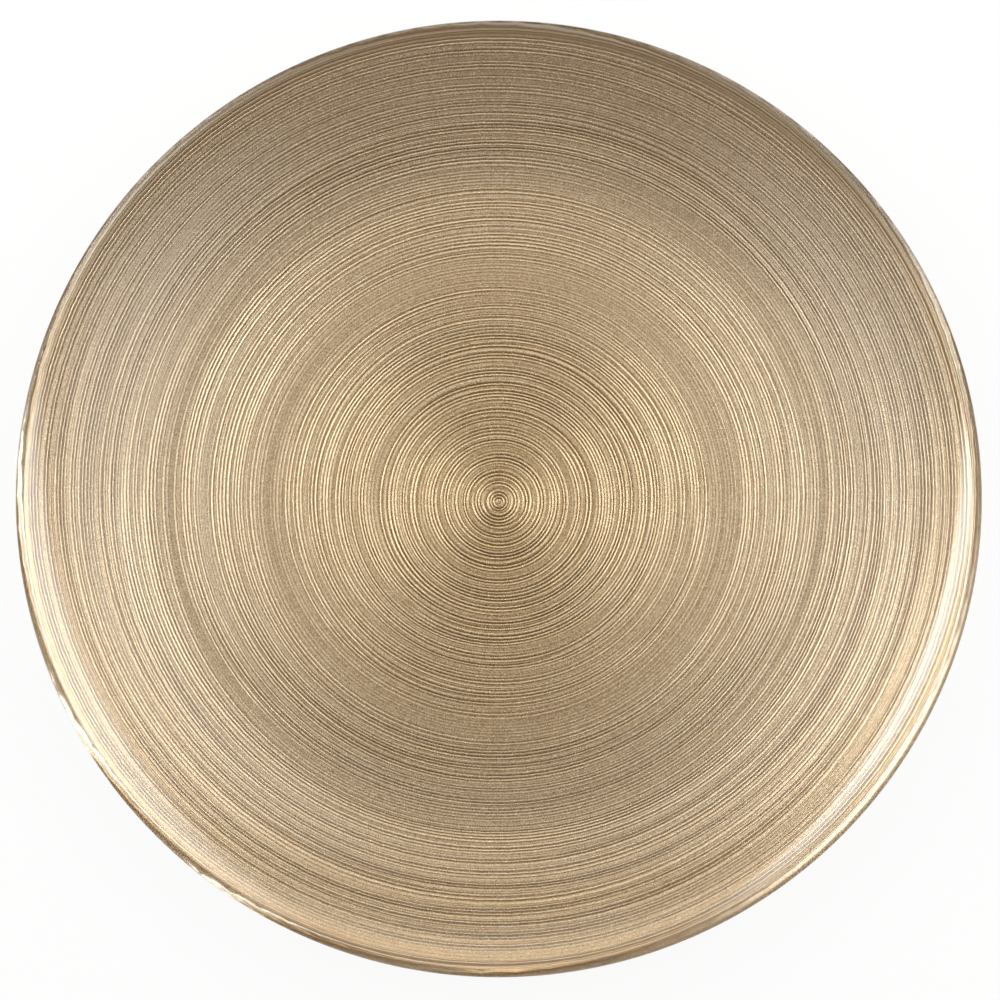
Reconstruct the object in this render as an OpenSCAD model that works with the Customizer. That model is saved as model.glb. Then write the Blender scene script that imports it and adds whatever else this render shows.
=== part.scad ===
// Charger plate of back-painted pressed glass.
// The clear blank is smooth on top and has concentric grooves pressed into its underside.
// A gold paint film follows the grooves, a protective film behind it levels them off, and
// self-adhesive bumper feet carry the plate. Sizes are in millimetres and angles in degrees.
// +Z is up, and the origin is the centre of the plane that the feet stand on.

/* [Plate] */
// Overall diameter, to the outside of the rim
plate_d = 330; // [310:1:350]
// Diameter of the flat base
base_d = 212; // [190:1:224]
// Thickness of the glass over the lands between grooves, measured upright
glass_t = 4; // [3:0.1:5]

/* [Section] */
// Radius of the heel, which turns the flat base up into the rim
heel_r = 70; // [30:1:90]
// Angle at which the rim leaves the heel
heel_angle = 9; // [4:0.5:12]
// Angle of the rim at its edge
rim_angle = 28; // [20:1:36]

/* [Grooves] */
// Average distance from one groove to the next
groove_pitch = 1.13; // [1:0.01:2]
// Depth of the deepest grooves
groove_depth = 0.22; // [0.1:0.01:0.5]
// Unevenness of the grooves, from 0, all alike, to 1
groove_uneven = 0.6; // [0:0.05:1]
// Plain border between the last groove and the edge
groove_border = 1.5; // [0.5:0.1:4]

/* [Coats] */
// Thickness of the gold paint film
gold_t = 0.12; // [0.08:0.01:0.3]
// Thickness of the protective film behind the lands
backing_t = 0.25; // [0.1:0.05:0.6]

/* [Feet] */
// Number of bumper feet
foot_count = 4; // [3:1:6]
// Diameter of a bumper foot
foot_d = 12; // [8:0.5:14]
// Distance that the feet keep from the edge of the flat base
foot_inset = 10; // [2:0.5:30]
// Height of a bumper foot
foot_h = 2.4; // [2.2:0.1:5]
// Rounding of a foot's lower edge
foot_round_r = 1.8; // [0.5:0.1:2]
// Thickness of the adhesive disc on a foot
adhesive_t = 0.15; // [0.1:0.05:0.4]
// Distance that the adhesive disc keeps from the foot's side
adhesive_inset = 0.4; // [0.2:0.1:1]

/* [Hidden] */
$fn = 180;
bend_steps = 12;
rim_steps = 30;
groove_seed = 7;
groove_wander = 0.2;
first_foot_angle = 45;

glass_colour = [0.87, 0.9, 0.86, 0.35];
gold_colour = [0.74, 0.64, 0.48];
backing_colour = [0.58, 0.49, 0.35];
bumper_colour = [0.82, 0.84, 0.84, 0.7];
adhesive_colour = [0.9, 0.9, 0.86];

// Levels of the stack, from the table up
backing_z = foot_h + adhesive_t;
land_z = backing_z + backing_t + gold_t;
face_z = land_z + glass_t;

plate_r = plate_d / 2;
base_r = base_d / 2;
foot_r = foot_d / 2;
foot_circle_r = base_r - foot_inset - foot_r;

// The edge is a half round that is tangent to both faces of the rim
edge_r = glass_t * cos(rim_angle) / 2;
edge_centre_r = plate_r - edge_r;
edge_top_r = edge_centre_r - edge_r * sin(rim_angle);
edge_under_r = edge_centre_r + edge_r * sin(rim_angle);

// The rim is one arc, from the heel to the edge
heel_end_r = base_r + heel_r * sin(heel_angle);
rim_r = (edge_top_r - heel_end_r) / (sin(rim_angle) - sin(heel_angle));

function last(list) = list[len(list) - 1];
function reversed(list) = [for (i = [len(list) - 1:-1:0]) list[i]];
function raised(points, dz) = [for (p = points) p + [0, dz]];

// Arc that starts at a point and turns the slope up from one angle to another
function bend(start, radius, from, to, steps) = [
    for (i = [1:steps])
        let (a = from + (to - from) * i / steps)
        start + radius * [sin(a) - sin(from), cos(from) - cos(a)]
];

// Section line of the smooth face, as radius and height over the base
heel = bend([base_r, 0], heel_r, 0, heel_angle, bend_steps);
rim = bend(last(heel), rim_r, heel_angle, rim_angle, rim_steps);
edge_top = last(rim);
edge_under = edge_top + (edge_under_r - edge_top_r) * [1, tan(rim_angle)];
inner_line = concat([[0, 0], [base_r, 0]], heel, rim);
full_line = concat(inner_line, [edge_under]);
function height(r) = lookup(r, full_line);

// Half-round edge, from the top face round to the underside
edge_centre = edge_top + edge_r * [sin(rim_angle), -cos(rim_angle)];
edge_round = [
    for (i = [1:bend_steps])
        let (a = 90 + rim_angle - 180 * i / bend_steps)
        edge_centre + edge_r * [cos(a), sin(a)]
];

// Lands and grooves of the underside: each land is followed by one groove of its own depth
groove_count = floor((edge_under_r - groove_border) / groove_pitch);
land_shift = rands(-groove_wander, groove_wander, groove_count, groove_seed);
groove_loss = rands(0, groove_uneven, groove_count, groove_seed + 1);
function land_r(i) = i == 0 || i == groove_count
    ? i * groove_pitch
    : (i + groove_uneven * land_shift[i]) * groove_pitch;
function groove_r(i) = (land_r(i) + land_r(i + 1)) / 2;
relief = concat(
    [
        for (i = [0:groove_count - 1])
            each [[land_r(i), 0], [groove_r(i), groove_depth * (1 - groove_loss[i])]]
    ],
    [[land_r(groove_count), 0], [edge_under_r, 0]]
);
grooved_line = [for (p = relief) [p.x, land_z + height(p.x) + p.y]];
backing_line = raised(full_line, backing_z);

module foot_place(i)
    rotate(first_foot_angle + 360 * (i - 1) / foot_count)
        translate([foot_circle_r, 0, 0])
            children();

module glass_plate()
    color(glass_colour)
        rotate_extrude()
            polygon(concat(
                raised(inner_line, face_z),
                raised(edge_round, face_z),
                reversed(grooved_line)
            ));

module gold_coat()
    color(gold_colour)
        rotate_extrude()
            polygon(concat(grooved_line, reversed(raised(grooved_line, -gold_t))));

module backing_coat()
    color(backing_colour)
        rotate_extrude()
            polygon(concat(raised(grooved_line, -gold_t), reversed(backing_line)));

module bumper_foot(i) {
    face_r = foot_r - foot_round_r;
    lower_edge = [
        for (s = [0:bend_steps])
            let (a = 90 * s / bend_steps)
            [face_r + foot_round_r * sin(a), foot_round_r * (1 - cos(a))]
    ];
    color(bumper_colour)
        foot_place(i)
            rotate_extrude()
                polygon(concat([[0, 0]], lower_edge, [[foot_r, foot_h], [0, foot_h]]));
}

module adhesive_disc(i)
    color(adhesive_colour)
        foot_place(i)
            translate([0, 0, foot_h])
                cylinder(h = adhesive_t, r = foot_r - adhesive_inset);

glass_plate();
gold_coat();
backing_coat();
for (i = [1:foot_count])
    bumper_foot(i);
for (i = [1:foot_count])
    adhesive_disc(i);
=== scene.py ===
"""Looks of a back-painted glass charger plate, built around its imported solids. Metres, +Z up."""
import math

import bpy
import numpy as np
from mathutils import Matrix, Vector


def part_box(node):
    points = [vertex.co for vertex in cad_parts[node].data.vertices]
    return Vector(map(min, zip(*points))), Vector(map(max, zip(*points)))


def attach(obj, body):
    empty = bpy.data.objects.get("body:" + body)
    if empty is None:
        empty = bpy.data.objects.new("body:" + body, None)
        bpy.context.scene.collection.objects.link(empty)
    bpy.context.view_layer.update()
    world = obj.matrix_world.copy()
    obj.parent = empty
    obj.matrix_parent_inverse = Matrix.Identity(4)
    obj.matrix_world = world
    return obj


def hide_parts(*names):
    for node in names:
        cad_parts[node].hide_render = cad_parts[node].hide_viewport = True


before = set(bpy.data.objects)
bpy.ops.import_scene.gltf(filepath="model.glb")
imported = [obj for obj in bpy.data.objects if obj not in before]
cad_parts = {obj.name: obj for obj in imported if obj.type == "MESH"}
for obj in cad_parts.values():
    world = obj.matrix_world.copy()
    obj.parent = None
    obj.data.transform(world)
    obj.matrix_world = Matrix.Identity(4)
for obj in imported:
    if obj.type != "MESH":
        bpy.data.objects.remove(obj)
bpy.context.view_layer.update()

MM = 0.001

# Section of the plate, as the solids have it; slopes are in degrees
PLATE_R = 165 * MM
BASE_R = 106 * MM
GLASS_T = 4 * MM
HEEL_R = 70 * MM
HEEL_SLOPE = 9
RIM_SLOPE = 28

# Mesh steps along the sections and round the axis
BEND_STEPS = 48
TOP_STEPS = 150
EDGE_STEPS = 17
UNDER_STEPS = 90
GLASS_SPOKES = 240
BACKING_STEPS = 120
BACKING_SPOKES = 200
FOOT_STEPS = 13
FOOT_SPOKES = 64

# Levels of the stack, read from the solids
LAND_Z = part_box("glass_plate")[0].z
FACE_Z = LAND_Z + GLASS_T
GOLD_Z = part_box("gold_coat")[0].z
BACKING_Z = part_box("backing_coat")[0].z

# Half-round edge of the glass
EDGE_R = GLASS_T * math.cos(math.radians(RIM_SLOPE)) / 2
EDGE_MID_R = PLATE_R - EDGE_R
EDGE_TOP_R = EDGE_MID_R - EDGE_R * math.sin(math.radians(RIM_SLOPE))
EDGE_UNDER_R = EDGE_MID_R + EDGE_R * math.sin(math.radians(RIM_SLOPE))

# Relief of the gold: narrow grooves and narrow ridges, each set at its own wandering pitch.
# Lean makes one flank of each line longer: the outer one on the outer base, the inner one on the rim.
RELIEF = {
    "Groove Pitch": 1.0 * MM,
    "Groove Depth": 0.12 * MM,
    "Ridge Pitch": 1.3 * MM,
    "Ridge Depth": 0.13 * MM,
    "Wander": 1.4,
    "Arcs": 0.8,
    "Lean": 0.85,
    "Seed": 3.0,
}

# Mean height of a line over its pitch, as a share of its depth
MEAN_LINE = 0.375
RELIEF_LEVEL = RELIEF["Groove Depth"] * (1 - MEAN_LINE) + RELIEF["Ridge Depth"] * MEAN_LINE

# Radii between which the relief changes, and the widths over which its lines vary
RELIEF_END_R = (165 * MM, 166 * MM)
RIM_DEEPER = 0.3
RIM_DEEPER_R = (116 * MM, 130 * MM)
LEAN_OUT_R = (40 * MM, 65 * MM)
LEAN_IN_R = (108 * MM, 126 * MM)
ARCS_R = (4 * MM, 60 * MM)
WANDER_BAND = 5 * MM
GROOVE_BANDS = (4 * MM, 1.0 * MM)
RIDGE_BANDS = (7 * MM, 1.5 * MM)

# Calm bands: middle radius, half width and share of the relief that is lost
CALM_BANDS = ((78.5 * MM, 5 * MM, 0.75), (113 * MM, 4 * MM, 0.6))

# Rings of the gold film, and how far films and feet lap into their neighbours
RING_STEPS = 1040
RING_SPOKES = 90
FILM_BACK_STEPS = 40
FILM_LAP = 0.02 * MM

# Centres of the pressed rings: they wander off the axis with the radius, and come back at the edge
DRIFT_FADE = 12 * MM
DRIFT_R = np.array([0, 38, 58, 84, 120, 140, 150, 161, 165]) * MM
DRIFT_X = np.array([0, 0, -0.2, -0.6, -1.0, -1.4, -1.65, -1.8, -1.8]) * MM
DRIFT_Y = np.array([0, 0.1, 0.85, 0.85, 3.3, 2.9, 2.3, 1.95, 1.95]) * MM

# Soft boxes: azimuth from +X and elevation in degrees, width and height in metres, radiance and colour
SOFT_BOX_DISTANCE = 1.2
WHITE = (1.0, 1.0, 1.0)
COOL = (0.9, 0.95, 1.0)
WARM = (1.0, 0.9, 0.74)
SOFT_BOXES = {
    "left_box": (157, 45, 1.9, 0.12, 10.0, WHITE),
    "right_box": (23, 44.5, 1.9, 0.24, 6.0, WHITE),
    "left_mid_box": (150, 34, 1.4, 0.4, 2.5, WHITE),
    "right_mid_box": (30, 34, 1.4, 0.4, 1.25, WHITE),
    "left_low_box": (140, 22, 1.4, 0.5, 2.75, WHITE),
    "right_low_box": (40, 22, 1.4, 0.5, 2.75, WHITE),
    "left_high_box": (165, 65, 1.4, 0.8, 1.2, COOL),
    "right_high_box": (15, 65, 1.4, 0.8, 1.3, COOL),
    "back_box": (90, 38, 1.4, 0.6, 1.7, WARM),
    "back_high_box": (90, 65, 1.0, 0.6, 0.5, WARM),
}


# Section line

def sine(degrees):
    return math.sin(math.radians(degrees))


def cosine(degrees):
    return math.cos(math.radians(degrees))


def tangent(degrees):
    return math.tan(math.radians(degrees))


def ramp(value, low, high):
    """0 below low and 1 above high, with a smooth rise between them."""
    t = np.clip((np.asarray(value, float) - low) / (high - low), 0, 1)
    return t * t * (3 - 2 * t)


def bend(start, radius, slope_from, slope_to):
    """Radius and height along an arc that turns the section's slope up from one angle to another."""
    slopes = np.radians(np.linspace(slope_from, slope_to, BEND_STEPS + 1))
    r = start[0] + radius * (np.sin(slopes) - np.sin(slopes[0]))
    z = start[1] + radius * (np.cos(slopes[0]) - np.cos(slopes))
    return np.stack([r, z], 1)


def face_section():
    """Radius and height over the base of the smooth top, from the axis to the end of the underside."""
    heel = bend((BASE_R, 0.0), HEEL_R, 0, HEEL_SLOPE)
    rim_r = (EDGE_TOP_R - heel[-1, 0]) / (sine(RIM_SLOPE) - sine(HEEL_SLOPE))
    rim = bend(heel[-1], rim_r, HEEL_SLOPE, RIM_SLOPE)
    end_z = rim[-1, 1] + (EDGE_UNDER_R - EDGE_TOP_R) * tangent(RIM_SLOPE)
    return np.vstack([[(0.0, 0.0)], heel, rim, [(EDGE_UNDER_R, end_z)]])


SECTION = face_section()


def height(r):
    """Height over the base at a radius."""
    return np.interp(r, SECTION[:, 0], SECTION[:, 1])


# Meshes

def revolved(name, section, spokes, shifts=None):
    """A closed mesh from a section that starts and ends on the axis; shifts move each ring's centre."""
    turns = np.arange(spokes) * 2 * math.pi / spokes
    rings = section[1:-1]
    shifts = np.zeros((len(section), 2)) if shifts is None else shifts
    x = rings[:, :1] * np.cos(turns) + shifts[1:-1, :1]
    y = rings[:, :1] * np.sin(turns) + shifts[1:-1, 1:]
    z = np.repeat(rings[:, 1:], spokes, 1)
    points = np.stack([x, y, z], 2).reshape(-1, 3)
    first_pole = (*shifts[0], section[0, 1])
    last_pole = (*shifts[-1], section[-1, 1])
    points = np.vstack([points, [first_pole, last_pole]])
    here = np.arange(spokes)
    beside = (here + 1) % spokes
    faces = []
    for i in range(len(rings) - 1):
        a, b = i * spokes, (i + 1) * spokes
        faces += np.stack([a + here, b + here, b + beside, a + beside], 1).tolist()
    end = (len(rings) - 1) * spokes
    faces += [(len(points) - 2, j, k) for j, k in zip(here.tolist(), beside.tolist())]
    faces += [(len(points) - 1, end + k, end + j) for j, k in zip(here.tolist(), beside.tolist())]
    mesh = bpy.data.meshes.new(name)
    mesh.from_pydata(points.tolist(), [], faces)
    mesh.shade_smooth()
    return mesh


def placed(name, mesh, material, slot, *nodes):
    """The mesh as a finished piece that stands for some of the solids."""
    piece = bpy.data.objects.new(name, mesh)
    bpy.context.scene.collection.objects.link(piece)
    if not mesh.materials:
        mesh.materials.append(material)
    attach(piece, "root")
    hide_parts(*nodes)
    return piece


# Nodes

def add_node(tree, kind, inputs=None, **settings):
    """A new node with its settings, and its inputs set to values or linked to other nodes' outputs."""
    node = tree.nodes.new(kind)
    for name, value in settings.items():
        setattr(node, name, value)
    for key, value in (inputs or {}).items():
        if isinstance(value, bpy.types.NodeSocket):
            tree.links.new(value, node.inputs[key])
        else:
            node.inputs[key].default_value = value
    return node


def maths(tree, operation, *values):
    """The result of one sum, on values or on other nodes' outputs."""
    return add_node(tree, "ShaderNodeMath", dict(enumerate(values)), operation=operation).outputs[0]


def mapped(tree, value, from_low, from_high, to_low, to_high):
    """The value, held within one range and carried over to another."""
    ends = {"From Min": from_low, "From Max": from_high, "To Min": to_low, "To Max": to_high}
    return add_node(tree, "ShaderNodeMapRange", {"Value": value, **ends}).outputs["Result"]


def mixed_colour(tree, share, first, second):
    """The first colour, moved to the second by a share."""
    mix = add_node(tree, "ShaderNodeMix", {"Factor": share}, data_type="RGBA")
    for key, colour in (("A", first), ("B", second)):
        socket = next(s for s in mix.inputs if s.name == key and s.type == "RGBA")
        if isinstance(colour, bpy.types.NodeSocket):
            tree.links.new(colour, socket)
        else:
            socket.default_value = (*colour, 1)
    return next(s for s in mix.outputs if s.type == "RGBA")


def new_material(name):
    """An empty material, its node tree, its main shader and its object coordinates."""
    material = bpy.data.materials.new(name)
    material.use_nodes = True
    tree = material.node_tree
    tree.nodes.clear()
    shader = add_node(tree, "ShaderNodeBsdfPrincipled")
    output = add_node(tree, "ShaderNodeOutputMaterial")
    tree.links.new(shader.outputs["BSDF"], output.inputs["Surface"])
    place = add_node(tree, "ShaderNodeTexCoord").outputs["Object"]
    return material, tree, shader, place


def fill(shader, **values):
    """Sets inputs of the shader; an underscore stands for a space."""
    for name, value in values.items():
        shader.inputs[name.replace("_", " ")].default_value = value


def wire(tree, shader, **sources):
    """Links outputs to inputs of the shader; an underscore stands for a space."""
    for name, source in sources.items():
        tree.links.new(source, shader.inputs[name.replace("_", " ")])


def bump(tree, relief, depth, strength):
    """A normal roughened by a height of some depth."""
    inputs = {"Height": relief, "Distance": depth, "Strength": strength}
    return add_node(tree, "ShaderNodeBump", inputs).outputs["Normal"]


def new_group(name, inputs, outputs):
    """A shader node group with float inputs, plus a vector input named Vector."""
    group = bpy.data.node_groups.new(name, "ShaderNodeTree")
    group.interface.new_socket("Vector", in_out="INPUT", socket_type="NodeSocketVector")
    for label in inputs:
        group.interface.new_socket(label, in_out="INPUT", socket_type="NodeSocketFloat")
    for label in outputs:
        group.interface.new_socket(label, in_out="OUTPUT", socket_type="NodeSocketFloat")
    given = add_node(group, "NodeGroupInput").outputs
    result = add_node(group, "NodeGroupOutput").inputs
    return group, given, result


def use_group(tree, group, inputs):
    """The outputs of a node group, placed in a material."""
    return add_node(tree, "ShaderNodeGroup", inputs, node_tree=group).outputs


def paint_flakes_group():
    """Metal flakes in a paint film: a tone for each flake, broken up by a finer grain."""
    group, given, result = new_group("paint_flakes", ["Flake Scale", "Grain Scale"], ["Fleck", "Grain"])
    flakes = {"Vector": given["Vector"], "Scale": given["Flake Scale"]}
    cells = add_node(group, "ShaderNodeTexVoronoi", flakes)
    tone = add_node(group, "ShaderNodeSeparateColor", {"Color": cells.outputs["Color"]})
    speckle = {"Vector": given["Vector"], "Scale": given["Grain Scale"], "Detail": 2.0}
    grain = add_node(group, "ShaderNodeTexNoise", speckle)
    group.links.new(tone.outputs[0], result["Fleck"])
    group.links.new(grain.outputs[0], result["Grain"])
    return group


def handled_group():
    """Faint prints and cloudy wiping marks on a handled surface."""
    group, given, result = new_group("handled_surface", ["Cloud Scale", "Streak Scale"], ["Haze"])
    cloud = {"Vector": given["Vector"], "Scale": given["Cloud Scale"], "Detail": 4.0}
    clouds = add_node(group, "ShaderNodeTexNoise", cloud)
    streak = {"Vector": given["Vector"], "Scale": given["Streak Scale"], "Detail": 6.0}
    streaks = add_node(group, "ShaderNodeTexNoise", streak)
    both = maths(group, "MULTIPLY", clouds.outputs[0], streaks.outputs[0])
    group.links.new(mapped(group, both, 0.2, 0.4, 0.0, 1.0), result["Haze"])
    return group


FLAKES = paint_flakes_group()
HANDLED = handled_group()


# Finishes

def glass_finish():
    """Clear fire-polished glass, a little wavy from the press and lightly handled."""
    material, tree, shader, place = new_material("clear_glass")
    fill(shader, Base_Color=(0.97, 0.985, 0.965, 1), IOR=1.51, Transmission_Weight=1.0)
    marks = {"Vector": place, "Cloud Scale": 18.0, "Streak Scale": 90.0}
    haze = use_group(tree, HANDLED, marks)["Haze"]
    wave = add_node(tree, "ShaderNodeTexNoise", {"Vector": place, "Scale": 45.0, "Detail": 1.0})
    wire(
        tree, shader,
        Roughness=mapped(tree, haze, 0.0, 1.0, 0.015, 0.06),
        Normal=bump(tree, wave.outputs[0], 0.06 * MM, 0.35),
    )
    return material


def gold_finish():
    """Champagne gold metallic paint under the glass, with a painted highlight and painted shade: pale on
    the ridges, brown in the grooves.
    """
    material, tree, shader, place = new_material("gold_paint")
    fill(shader, Metallic=0.75, Anisotropic=0.4, Anisotropic_Rotation=0.25)
    flat = {0: place, 1: (1, 1, 0)}
    off_axis = add_node(tree, "ShaderNodeVectorMath", flat, operation="MULTIPLY").outputs[0]
    radius = add_node(tree, "ShaderNodeVectorMath", {0: off_axis}, operation="LENGTH").outputs["Value"]
    outward = mapped(tree, radius, 5 * MM, BASE_R, 0.0, 1.0)
    line_shade_weight = mapped(tree, radius, 120 * MM, 155 * MM, 2.0, 1.1)
    fleck_share = mapped(tree, radius, PLATE_R - 6 * MM, PLATE_R - 3 * MM, 1.0, 0.0)
    # Painted light: the gold turns lighter under the rounded edge, lifting the shade seen through the
    # edge.
    painted_lip_light = mapped(tree, radius, PLATE_R - 3 * MM, PLATE_R - 1.5 * MM, 0.0, 0.25)
    flakes = use_group(tree, FLAKES, {"Vector": place, "Flake Scale": 2700.0, "Grain Scale": 1500.0})
    fleck = maths(tree, "MULTIPLY", flakes["Fleck"], fleck_share)
    crest = add_node(tree, "ShaderNodeAttribute", attribute_name="crest").outputs["Fac"]
    # Painted reflection: all three colours turn paler from the axis to the edge of the base, standing in
    # for the white sheen of the glass.
    dark = mixed_colour(tree, outward, (0.26, 0.12, 0.015), (0.28, 0.145, 0.03))
    middle = mixed_colour(tree, outward, (0.6, 0.41, 0.2), (0.62, 0.46, 0.29))
    light = mixed_colour(tree, outward, (1.0, 0.86, 0.63), (1.0, 0.9, 0.73))
    speckle = maths(tree, "MULTIPLY_ADD", fleck, 0.2, maths(tree, "MULTIPLY", flakes["Grain"], 0.2))
    # Painted highlight and shade: the tone is raised on the ridges and lowered in the grooves, about
    # twice as strongly inside 120 mm as past 155 mm.
    tone = maths(tree, "MULTIPLY_ADD", maths(tree, "SUBTRACT", crest, 0.5), line_shade_weight, speckle)
    tone = maths(tree, "ADD", tone, painted_lip_light)
    painted_shade_side = mixed_colour(tree, mapped(tree, tone, -0.3, 0.15, 0.0, 1.0), dark, middle)
    wire(
        tree, shader,
        Base_Color=mixed_colour(tree, mapped(tree, tone, 0.15, 0.6, 0.0, 1.0), painted_shade_side, light),
        Roughness=mapped(tree, fleck, 0.0, 1.0, 0.18, 0.28),
        Normal=bump(tree, fleck, 0.04 * MM, 0.45),
    )
    return material


def backing_finish():
    """Satin protective paint over the gold, with orange peel and a fine grain."""
    material, tree, shader, place = new_material("backing_paint")
    fill(shader, Metallic=0.55)
    flakes = use_group(tree, FLAKES, {"Vector": place, "Flake Scale": 6000.0, "Grain Scale": 700.0})
    peel = add_node(tree, "ShaderNodeTexNoise", {"Vector": place, "Scale": 420.0, "Detail": 2.0})
    clouds = add_node(tree, "ShaderNodeTexNoise", {"Vector": place, "Scale": 22.0, "Detail": 3.0})
    dark = mixed_colour(tree, clouds.outputs[0], (0.34, 0.255, 0.145), (0.39, 0.3, 0.175))
    light = mixed_colour(tree, clouds.outputs[0], (0.43, 0.33, 0.195), (0.48, 0.375, 0.23))
    wire(
        tree, shader,
        Base_Color=mixed_colour(tree, flakes["Fleck"], dark, light),
        Roughness=mapped(tree, flakes["Grain"], 0.3, 0.7, 0.42, 0.6),
        Normal=bump(tree, peel.outputs[0], 0.08 * MM, 0.5),
    )
    return material


def bumper_finish():
    """Clear soft polyurethane, slightly hazy and scuffed where it stands."""
    material, tree, shader, place = new_material("clear_bumper")
    fill(shader, Base_Color=(0.93, 0.95, 0.95, 1), IOR=1.48, Transmission_Weight=0.9)
    marks = {"Vector": place, "Cloud Scale": 300.0, "Streak Scale": 1400.0}
    haze = use_group(tree, HANDLED, marks)["Haze"]
    scuff = add_node(tree, "ShaderNodeTexNoise", {"Vector": place, "Scale": 1100.0, "Detail": 3.0})
    wire(
        tree, shader,
        Roughness=mapped(tree, haze, 0.0, 1.0, 0.1, 0.34),
        Normal=bump(tree, scuff.outputs[0], 0.03 * MM, 0.4),
    )
    return material


def adhesive_finish():
    """Milky acrylic adhesive with trapped bubbles."""
    material, tree, shader, place = new_material("acrylic_adhesive")
    bubbles = add_node(tree, "ShaderNodeTexVoronoi", {"Vector": place, "Scale": 900.0})
    rim = mapped(tree, bubbles.outputs["Distance"], 0.1, 0.35, 0.0, 1.0)
    wire(
        tree, shader,
        Base_Color=mixed_colour(tree, rim, (0.72, 0.71, 0.66), (0.86, 0.85, 0.8)),
        Roughness=mapped(tree, rim, 0.0, 1.0, 0.22, 0.4),
        Normal=bump(tree, rim, 0.02 * MM, 0.3),
    )
    return material


# Pieces

def make_glass(material):
    """The smooth blank: top face, half-round edge, and the underside that the films cover."""
    top_r = np.linspace(0, EDGE_TOP_R, TOP_STEPS)
    top = np.stack([top_r, FACE_Z + height(top_r)], 1)
    lip_end = top[-1]
    middle = lip_end + EDGE_R * np.array([sine(RIM_SLOPE), -cosine(RIM_SLOPE)])
    turn = np.radians(np.linspace(90 + RIM_SLOPE, RIM_SLOPE - 90, EDGE_STEPS))[1:-1]
    edge = middle + EDGE_R * np.stack([np.cos(turn), np.sin(turn)], 1)
    under_r = np.linspace(EDGE_UNDER_R, 0, UNDER_STEPS)
    under = np.stack([under_r, LAND_Z + height(under_r)], 1)
    mesh = revolved("glass_blank", np.vstack([top, edge, under]), GLASS_SPOKES)
    return placed("glass_blank", mesh, material, "clear_glass", "glass_plate")


def relief_tree():
    """Presses grooves and ridges along the rings of a turned mesh; they swell and fade along it."""
    tree = bpy.data.node_groups.new("pressed_relief", "GeometryNodeTree")
    tree.interface.new_socket("Mesh", in_out="INPUT", socket_type="NodeSocketGeometry")
    for label in RELIEF:
        tree.interface.new_socket(label, in_out="INPUT", socket_type="NodeSocketFloat")
    tree.interface.new_socket("Finish", in_out="INPUT", socket_type="NodeSocketMaterial")
    tree.interface.new_socket("Mesh", in_out="OUTPUT", socket_type="NodeSocketGeometry")
    given = add_node(tree, "NodeGroupInput").outputs

    def stored(name):
        return add_node(tree, "GeometryNodeInputNamedAttribute", {"Name": name}).outputs["Attribute"]

    ring, turn = stored("ring"), stored("turn")
    arcs = maths(tree, "MULTIPLY", mapped(tree, ring, *ARCS_R, 0.3, 1.0), given["Arcs"])
    across = maths(tree, "MULTIPLY", maths(tree, "COSINE", turn), arcs)
    over = maths(tree, "MULTIPLY", maths(tree, "SINE", turn), arcs)
    leaning = maths(
        tree, "SUBTRACT",
        mapped(tree, ring, *LEAN_OUT_R, 0.0, 1.0),
        mapped(tree, ring, *LEAN_IN_R, 0.0, 2.0),
    )
    outward_lean = maths(tree, "MULTIPLY", leaning, given["Lean"])
    inward_lean = maths(tree, "MULTIPLY", outward_lean, -1.0)

    def slow_noise(band, later):
        """Noise that changes over a band's width, and slowly along the ring."""
        along = maths(tree, "DIVIDE", ring, band)
        point = add_node(tree, "ShaderNodeCombineXYZ", {"X": along, "Y": across, "Z": over})
        seed = maths(tree, "ADD", given["Seed"], later)
        noise = {"Vector": point.outputs[0], "W": seed, "Scale": 1.0, "Detail": 0.0}
        return add_node(tree, "ShaderNodeTexNoise", noise, noise_dimensions="4D").outputs[0]

    def line_set(pitch, depth, lean, swell_band, line_band, later):
        """Narrow lines at a wandering pitch: bands of them swell, and single ones differ."""
        wander = maths(tree, "MULTIPLY", slow_noise(WANDER_BAND, later), given["Wander"])
        lines = maths(tree, "ADD", maths(tree, "DIVIDE", ring, pitch), wander)
        even = maths(tree, "MULTIPLY", lines, math.tau)
        phase = maths(tree, "MULTIPLY_ADD", maths(tree, "COSINE", even), lean, even)
        shape = maths(tree, "POWER", mapped(tree, maths(tree, "COSINE", phase), -1, 1, 0, 1), 2.0)
        rise = maths(tree, "MULTIPLY", maths(tree, "SUBTRACT", shape, MEAN_LINE), depth)
        swell = mapped(tree, slow_noise(swell_band, later + 1), 0.35, 0.6, 0.65, 1.0)
        single = mapped(tree, slow_noise(line_band, later + 2), 0.3, 0.65, 0.6, 1.0)
        return maths(tree, "MULTIPLY", rise, maths(tree, "MULTIPLY", swell, single))

    grooves = line_set(given["Groove Pitch"], given["Groove Depth"], inward_lean, *GROOVE_BANDS, 10)
    ridges = line_set(given["Ridge Pitch"], given["Ridge Depth"], outward_lean, *RIDGE_BANDS, 20)
    rise = maths(tree, "MULTIPLY", maths(tree, "SUBTRACT", ridges, grooves), stored("press"))
    full = maths(tree, "ADD", given["Groove Depth"], given["Ridge Depth"])
    # Each point's share of height is stored as crest; the gold's colour uses it for a painted highlight
    # on the ridges and painted shade in the grooves.
    crest = maths(tree, "ADD", maths(tree, "DIVIDE", rise, full), 0.5)
    marks = {"Geometry": given["Mesh"], "Name": "crest", "Value": crest}
    marked = add_node(tree, "GeometryNodeStoreNamedAttribute", marks)
    lift = add_node(tree, "ShaderNodeCombineXYZ", {"Z": rise})
    moved = {"Geometry": marked.outputs[0], "Offset": lift.outputs[0]}
    pressed = add_node(tree, "GeometryNodeSetPosition", moved)
    real = add_node(tree, "GeometryNodeRealizeInstances", {"Geometry": pressed.outputs[0]})
    coated = {"Geometry": real.outputs[0], "Material": given["Finish"]}
    finished = add_node(tree, "GeometryNodeSetMaterial", coated)
    add_node(tree, "NodeGroupOutput", {"Mesh": finished.outputs[0]})
    return tree


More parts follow.
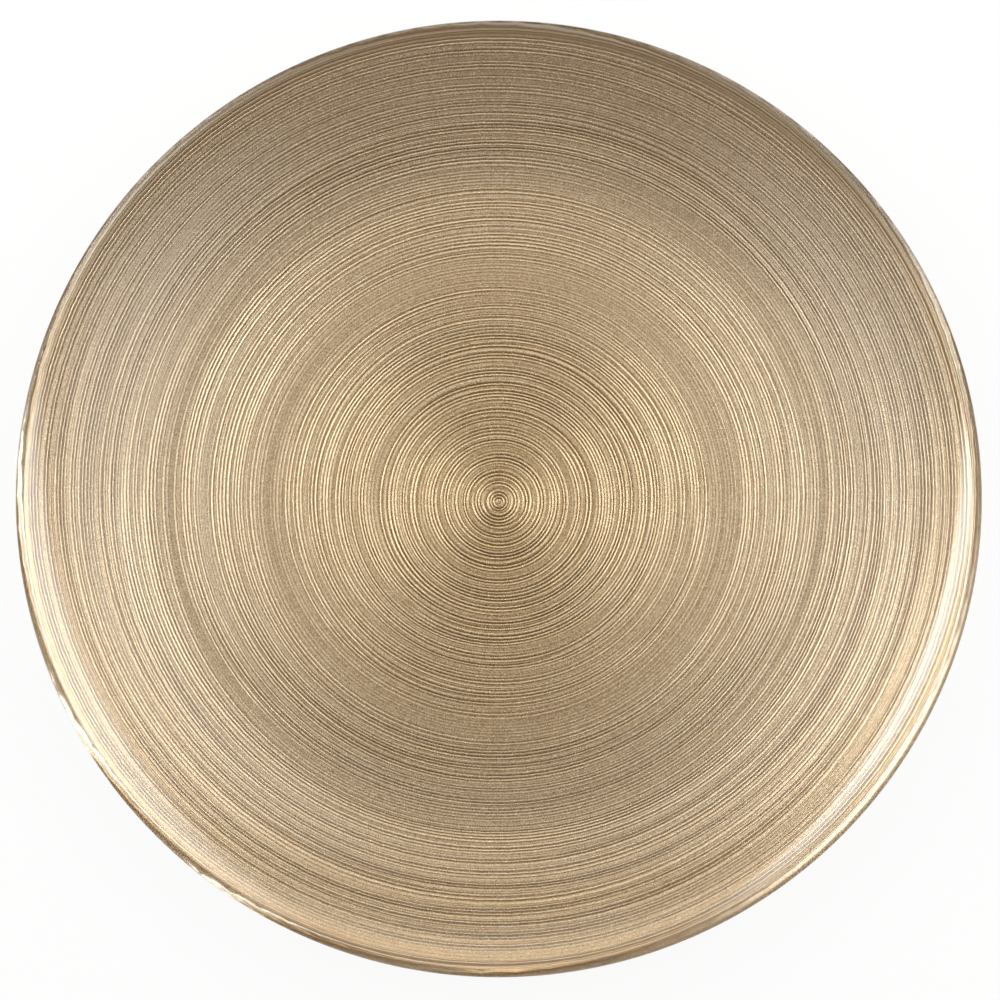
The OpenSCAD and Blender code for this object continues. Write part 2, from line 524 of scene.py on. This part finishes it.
def through_nodes(name, mesh, tree, values):
    """The mesh after a node tree with these inputs, as a plain mesh."""
    holder = bpy.data.objects.new(name, mesh)
    bpy.context.scene.collection.objects.link(holder)
    modifier = holder.modifiers.new(name, "NODES")
    modifier.node_group = tree
    for item in tree.interface.items_tree:
        if item.item_type == "SOCKET" and item.in_out == "INPUT" and item.name in values:
            modifier[item.identifier] = values[item.name]
    result = bpy.data.meshes.new_from_object(holder.evaluated_get(bpy.context.evaluated_depsgraph_get()))
    holder.modifiers.remove(modifier)
    bpy.data.objects.remove(holder)
    result.name = name
    result.shade_smooth()
    return result


def drift(ring_r):
    """Centre of the pressed ring of a radius."""
    return np.stack([np.interp(ring_r, DRIFT_R, DRIFT_X), np.interp(ring_r, DRIFT_R, DRIFT_Y)], -1)


def ring_of(points):
    """Radius of the pressed ring that runs through each point."""
    ring_r = np.hypot(points[:, 0], points[:, 1])
    for _ in range(12):
        ring_r = np.hypot(*(points[:, :2] - drift(ring_r)).T)
    return ring_r


def make_gold(material):
    """The gold film: a ridged face that laps into the glass, and a smooth back."""
    face_r = np.linspace(0, EDGE_UNDER_R, RING_STEPS)
    fade = 1 - ramp(face_r, PLATE_R - DRIFT_FADE, EDGE_UNDER_R)
    face_z = LAND_Z + FILM_LAP + RELIEF_LEVEL
    face = np.stack([face_r, face_z + height(face_r)], 1)
    back_r = np.linspace(EDGE_UNDER_R, 0, FILM_BACK_STEPS)
    back = np.stack([back_r, GOLD_Z + height(back_r)], 1)
    section = np.vstack([face, back])
    shifts = np.vstack([drift(face_r) * fade[:, None], np.zeros((len(back), 2))])
    mesh = revolved("gold_film", section, RING_SPOKES, shifts)
    points = np.array([v.co for v in mesh.vertices])
    on_face = np.arange(len(points)) < (RING_STEPS - 1) * RING_SPOKES
    points[on_face, 2] = face_z + height(np.hypot(points[on_face, 0], points[on_face, 1]))
    mesh.vertices.foreach_set("co", points.ravel())
    ring_r = ring_of(points)
    away = points[:, :2] - drift(ring_r)
    press = on_face * (1 - ramp(ring_r, *RELIEF_END_R))
    press = press * (1 + RIM_DEEPER * ramp(ring_r, *RIM_DEEPER_R))
    for middle, half_w, loss in CALM_BANDS:
        press = press * (1 - loss * np.exp(-((ring_r - middle) / half_w) ** 2))
    for label, values in (
        ("ring", ring_r),
        ("turn", np.arctan2(away[:, 1], away[:, 0])),
        ("press", press),
    ):
        layer = mesh.attributes.new(label, "FLOAT", "POINT")
        layer.data.foreach_set("value", values.astype(np.float32))
    pressed = through_nodes("gold_film", mesh, relief_tree(), RELIEF | {"Finish": material})
    return placed("gold_film", pressed, material, "gold_paint", "gold_coat")


def make_backing(material):
    """The protective film, smooth underneath, where the feet stick."""
    face_r = np.linspace(0, EDGE_UNDER_R, BACKING_STEPS)
    face = np.stack([face_r, GOLD_Z + FILM_LAP + height(face_r)], 1)
    back_r = np.linspace(EDGE_UNDER_R, 0, BACKING_STEPS)
    back = np.stack([back_r, BACKING_Z + height(back_r)], 1)
    mesh = revolved("backing_film", np.vstack([face, back]), BACKING_SPOKES)
    return placed("backing_film", mesh, material, "backing_paint", "backing_coat")


def make_foot(number, material):
    """A moulded bumper with a domed side and a flat foot; its top laps into the adhesive."""
    node = f"bumper_foot_{number}"
    low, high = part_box(node)
    middle = (low + high) / 2
    foot_r = (high.x - low.x) / 2
    foot_h = high.z - low.z + FILM_LAP
    round_r = 1.8 * MM
    turn = np.radians(np.linspace(0, 90, FOOT_STEPS))
    side = np.stack([foot_r - round_r + round_r * np.sin(turn), round_r * (1 - np.cos(turn))], 1)
    top_edge = 0.15 * MM
    top = [(foot_r, foot_h - top_edge), (foot_r - top_edge, foot_h), (0.5 * foot_r, foot_h), (0, foot_h)]
    section = np.vstack([[(0, 0), (0.4 * foot_r, 0)], side, top])[::-1]
    mesh = revolved(node, section, FOOT_SPOKES)
    mesh.transform(Matrix.Translation((middle.x, middle.y, low.z)))
    return placed(f"clear_bumper_{number}", mesh, material, "bumper", node)


def dress_adhesive(number, material):
    """The adhesive disc keeps its solid, with its own finish."""
    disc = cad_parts[f"adhesive_disc_{number}"]
    disc.data.materials.clear()
    disc.data.materials.append(material)


# Studio

def add_soft_box(name, azimuth, elevation, wide, tall, radiance, colour):
    """A soft box that looks at the plate, brightest in its middle and dark at its edges."""
    lamp = bpy.data.lights.new(name, "AREA")
    lamp.shape = "RECTANGLE"
    lamp.size = wide
    lamp.size_y = tall
    lamp.energy = radiance * math.pi * wide * tall
    lamp.color = colour
    lamp.use_nodes = True
    tree = lamp.node_tree
    across = add_node(tree, "ShaderNodeNewGeometry").outputs["Parametric"]
    sides = add_node(tree, "ShaderNodeSeparateXYZ", {"Vector": across}).outputs
    falls = []
    for side in (sides["X"], sides["Y"]):
        off = maths(tree, "ABSOLUTE", maths(tree, "MULTIPLY_ADD", side, 2.0, -1.0))
        falls.append(mapped(tree, off, 0.3, 1.0, 1.0, 0.0))
    tree.links.new(maths(tree, "MULTIPLY", *falls), tree.nodes["Emission"].inputs["Strength"])
    holder = bpy.data.objects.new(name, lamp)
    bpy.context.scene.collection.objects.link(holder)
    reach = cosine(elevation)
    toward = Vector((reach * cosine(azimuth), reach * sine(azimuth), sine(elevation)))
    holder.location = toward * SOFT_BOX_DISTANCE
    holder.rotation_euler = (-toward).to_track_quat("-Z", "Y").to_euler()
    holder.visible_camera = False
    return holder


def make_world():
    """Dim, warm light from the room all round."""
    world = bpy.data.worlds.new("studio")
    world.use_nodes = True
    background = world.node_tree.nodes["Background"]
    background.inputs["Color"].default_value = (1.0, 0.86, 0.74, 1)
    background.inputs["Strength"].default_value = 0.28
    bpy.context.scene.world = world


def make_floor():
    """A pale floor that looks nearly white and keeps a trace of the plate's shadow."""
    side = 6.0
    corners = [(-side, -side, 0), (side, -side, 0), (side, side, 0), (-side, side, 0)]
    mesh = bpy.data.meshes.new("floor")
    mesh.from_pydata(corners, [], [(0, 1, 2, 3)])
    floor = bpy.data.objects.new("floor", mesh)
    bpy.context.scene.collection.objects.link(floor)
    material = bpy.data.materials.new("pale_floor")
    material.use_nodes = True
    tree = material.node_tree
    tree.nodes.clear()
    paint = add_node(tree, "ShaderNodeBsdfDiffuse", {"Color": (0.92, 0.92, 0.92, 1)})
    glow = add_node(tree, "ShaderNodeEmission", {"Color": (1, 1, 1, 1), "Strength": 1.0})
    path = add_node(tree, "ShaderNodeLightPath").outputs
    seen = maths(tree, "MAXIMUM", path["Is Camera Ray"], path["Is Transmission Ray"])
    seen = maths(tree, "MAXIMUM", seen, path["Is Glossy Ray"])
    glow_share = maths(tree, "MULTIPLY", seen, 0.93)
    both = add_node(tree, "ShaderNodeMixShader", {0: glow_share, 1: paint.outputs[0], 2: glow.outputs[0]})
    add_node(tree, "ShaderNodeOutputMaterial", {"Surface": both.outputs[0]})
    mesh.materials.append(material)


def make_camera():
    """A long lens, nearly overhead and a little to the near side."""
    elevation = 82
    distance = 2.7
    frame_w = 0.3422
    aim = Vector((0.0004, -0.001, 0.016))
    data = bpy.data.cameras.new("camera")
    data.sensor_width = 36
    data.lens = data.sensor_width * distance / frame_w
    data.clip_end = 100
    camera = bpy.data.objects.new("camera", data)
    bpy.context.scene.collection.objects.link(camera)
    back = Vector((0, -cosine(elevation), sine(elevation)))
    camera.location = aim + back * distance
    camera.rotation_euler = (-back).to_track_quat("-Z", "Y").to_euler()
    bpy.context.scene.camera = camera


make_camera()
make_world()
make_floor()
for name, settings in SOFT_BOXES.items():
    add_soft_box(name, *settings)

make_glass(glass_finish())
make_gold(gold_finish())
make_backing(backing_finish())
bumper = bumper_finish()
adhesive = adhesive_finish()
for number in range(1, 5):
    make_foot(number, bumper)
    dress_adhesive(number, adhesive)

bpy.context.scene.view_settings.view_transform = "Standard"
